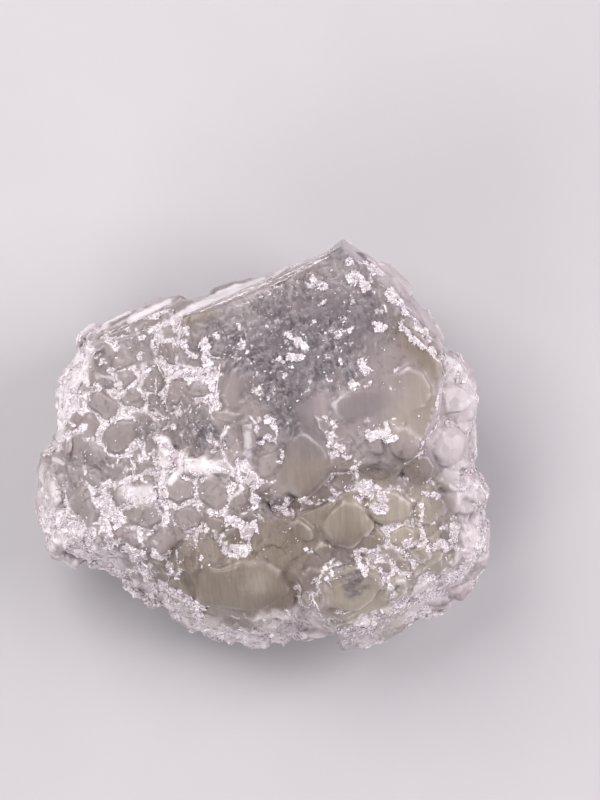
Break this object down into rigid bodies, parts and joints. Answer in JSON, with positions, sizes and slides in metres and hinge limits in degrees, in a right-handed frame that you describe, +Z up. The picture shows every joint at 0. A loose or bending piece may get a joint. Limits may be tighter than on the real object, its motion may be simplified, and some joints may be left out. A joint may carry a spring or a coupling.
{
  "type": "sugar fluorite specimen",
  "caption": "Hand-size cluster of blocky clear grey-green fluorite crystals with rounded growth pads and a sugary crust, cut flat underneath to rest on a shelf.",
  "frame": {"origin": "middle of the footprint, on the surface that the specimen rests on", "axes": "+Z up out of the rest face through the crystal faces, +Y towards the crystals' peak, +X to the right with the crystal faces seen from above"},
  "size_m": [0.054, 0.0484, 0.027],
  "materials": {
    "fluorite": "frosted clear crystal"
  },
  "bodies": {
    "root": {"fluorite_specimen": "fluorite"}
  },
  "joints": []
}
